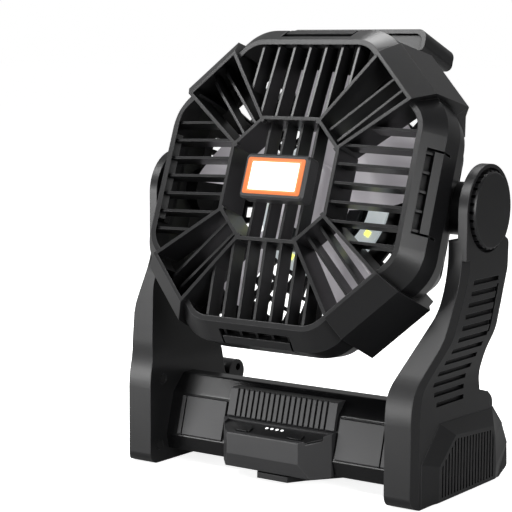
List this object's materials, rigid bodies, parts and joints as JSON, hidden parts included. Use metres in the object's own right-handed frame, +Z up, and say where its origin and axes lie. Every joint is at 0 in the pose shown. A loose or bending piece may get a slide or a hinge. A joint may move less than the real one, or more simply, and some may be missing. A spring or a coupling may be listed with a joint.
{
  "type": "portable camping fan",
  "caption": "Portable camping fan: octagonal slatted head with lamp, tilting between two arms on a battery base with control panel, buttons and folding hook.",
  "frame": {"origin": "on the ground, below the middle of the whole fan's bounding box", "axes": "+Z up, front (lamp and controls) towards -Y, +X to the right-hand side as seen from the front"},
  "size_m": [0.2412, 0.1546, 0.2794],
  "materials": {
    "black_plastic": "fine satin texture",
    "gloss_black_plastic": "semi-gloss",
    "grey_plastic": "smooth",
    "orange_plastic": "smooth",
    "lamp_glow": "lit diffuser",
    "white_board": "white solder mask",
    "led_glow": "lit chip",
    "indicator_glow": "lit light pipe",
    "green_board": "solder mask",
    "steel": "turned",
    "cell_sleeve": "shrink sleeve",
    "motor_grey": "moulded",
    "rubber": "matte"
  },
  "bodies": {
    "stand": {"left_arm": "black_plastic", "right_arm": "black_plastic", "left_foot_cover": "black_plastic", "right_foot_cover": "black_plastic", "base_housing": "black_plastic", "bottom_cover": "black_plastic", "left_trim_panel": "black_plastic", "right_trim_panel": "black_plastic", "ribbed_panel": "black_plastic", "control_housing": "black_plastic", "control_panel": "gloss_black_plastic", "control_board": "green_board", "indicator_lights": "indicator_glow", "battery_cells": "cell_sleeve", "hook_pins": "steel", "arm_screws": "steel", "rubber_feet": "rubber"},
    "head": {"front_cover": "black_plastic", "front_grille": "black_plastic", "rear_cover": "black_plastic", "top_handle": "black_plastic", "lamp_housing": "black_plastic", "lamp_frame": "orange_plastic", "lamp_lens": "lamp_glow", "lamp_board": "white_board", "ring_light_board": "white_board", "ring_light_leds": "led_glow", "motor_housing": "motor_grey", "cover_screws": "steel", "left_pivot_axle": "steel", "right_pivot_axle": "steel", "left_pivot_cap": "black_plastic", "right_pivot_cap": "black_plastic", "pivot_washers": "rubber"},
    "fan": {"fan_rotor": "grey_plastic", "motor_shaft": "steel"},
    "speed_button": {"speed_button": "gloss_black_plastic"},
    "light_button": {"light_button": "gloss_black_plastic"},
    "hook": {"folding_hook": "black_plastic"}
  },
  "joints": [
    {"name": "head_tilt", "type": "hinge", "parent": "stand", "child": "head", "pos_m": [0, 0.00099, 0.1722], "axis": [1, 0, 0], "range_deg": [-120, 150]},
    {"name": "fan_spin", "type": "hinge", "parent": "head", "child": "fan", "pos_m": [0, -0.01351, 0.1753], "axis": [0, -0.9397, 0.342], "continuous": true},
    {"name": "speed_button_press", "type": "slide", "parent": "stand", "child": "speed_button", "axis": [0, 0.2676, -0.9635], "range_m": [0, 0.0012], "stiffness_N_per_m": 400, "springref_m": -0.002},
    {"name": "light_button_press", "type": "slide", "parent": "stand", "child": "light_button", "axis": [0, 0.2676, -0.9635], "range_m": [0, 0.0012], "stiffness_N_per_m": 400, "springref_m": -0.002},
    {"name": "hook_fold", "type": "hinge", "parent": "stand", "child": "hook", "pos_m": [0, 0.00499, 0.0045], "axis": [1, 0, 0], "range_deg": [0, 95]}
  ]
}
